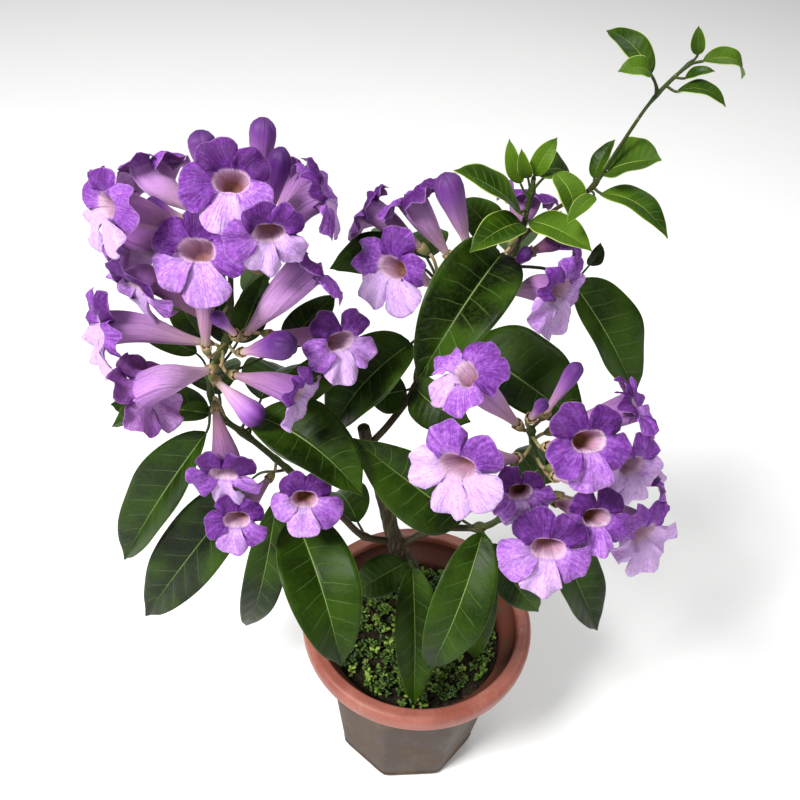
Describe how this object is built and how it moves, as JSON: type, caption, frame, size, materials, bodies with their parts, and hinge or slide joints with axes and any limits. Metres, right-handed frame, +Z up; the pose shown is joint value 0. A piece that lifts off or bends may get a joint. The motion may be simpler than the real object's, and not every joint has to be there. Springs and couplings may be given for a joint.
{
  "type": "potted garlic vine",
  "caption": "Climbing shrub with violet trumpet flowers, glossy paired leaves and young shoots, growing in a round-rimmed plastic pot with flat body panels.",
  "frame": {"origin": "middle of the pot's underside, on the surface it stands on", "axes": "+Z up, -Y the front, +X to the right seen from the front"},
  "size_m": [0.4189, 0.2849, 0.7113],
  "materials": {
    "pot": "moulded plastic, terracotta colour, dusty on the body",
    "soil": "dark damp potting soil",
    "ground_cover": "fresh green leaflets",
    "trunk": "grey-brown bark",
    "leaf": "glossy leathery leaf with pale veins",
    "young_leaf": "thin glossy light green leaf",
    "flower_stalk": "yellowish green, matt",
    "petal": "thin violet petal, velvety, paler with age",
    "bud": "closed bud, dark violet at its tip"
  },
  "bodies": {
    "root": {"pot": "pot", "soil": "soil", "ground_cover": "ground_cover", "trunk": "trunk", "left_branch": "leaf", "left_spray": "flower_stalk", "right_branch": "leaf", "right_spray": "flower_stalk", "low_leaves": "leaf", "middle_branch": "leaf", "young_shoot": "young_leaf", "long_shoot": "young_leaf", "lower_left_bloom_1": "petal", "lower_left_bloom_2": "petal", "lower_left_bloom_3": "petal", "left_bloom_01": "petal", "left_bloom_02": "petal", "left_bloom_03": "petal", "left_bud_04": "bud", "left_bud_05": "bud", "left_bud_06": "bud", "left_bloom_07": "petal", "left_bloom_08": "petal", "left_bloom_09": "petal", "left_bloom_10": "petal", "left_bloom_11": "petal", "left_bloom_12": "petal", "left_bloom_14": "petal", "left_bloom_15": "petal", "left_bloom_17": "petal", "left_bud_18": "bud", "left_bud_19": "bud", "left_bloom_20": "petal", "left_bloom_21": "petal", "left_bud_22": "bud", "left_bud_23": "bud", "middle_bloom_1": "petal", "middle_bloom_2": "petal", "middle_bud_3": "bud", "middle_bloom_4": "petal", "middle_bloom_5": "petal", "middle_bloom_6": "petal", "middle_bud_7": "bud", "middle_bloom_8": "petal", "right_bloom_01": "petal", "right_bud_02": "bud", "right_bud_03": "bud", "right_bloom_04": "petal", "right_bloom_05": "petal", "right_bloom_06": "petal", "right_bloom_07": "petal", "right_bloom_08": "petal", "right_bloom_09": "petal", "right_bloom_10": "petal", "right_bloom_11": "petal", "right_bloom_12": "petal", "right_bud_13": "bud", "right_bud_14": "bud"}
  },
  "joints": []
}
